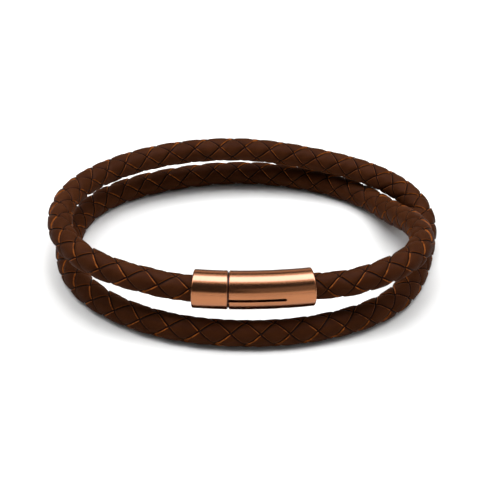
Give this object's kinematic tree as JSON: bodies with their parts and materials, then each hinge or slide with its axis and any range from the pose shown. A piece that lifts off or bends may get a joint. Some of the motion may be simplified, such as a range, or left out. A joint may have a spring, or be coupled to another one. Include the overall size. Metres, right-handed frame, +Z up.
{
  "type": "double-wrap leather bracelet",
  "caption": "Round braided leather cord wound twice round the wrist and closed by a two-part tube clasp, lying on its side.",
  "frame": {"origin": "under the middle of the bracelet, on the surface that it lies on", "axes": "+Z up along the wrist, -Y to the front where the clasp is, +X to the right as seen from the front"},
  "size_m": [0.0642, 0.0532, 0.0116],
  "materials": {
    "leather_braid": "dark brown braided leather, satin sheen, with orange-brown cut edges",
    "rose_metal": "rose-gold plated steel, fine satin brushing"
  },
  "bodies": {
    "root": {"braided_cord": "leather_braid", "clasp_collar": "rose_metal", "clasp_socket": "rose_metal"}
  },
  "joints": []
}
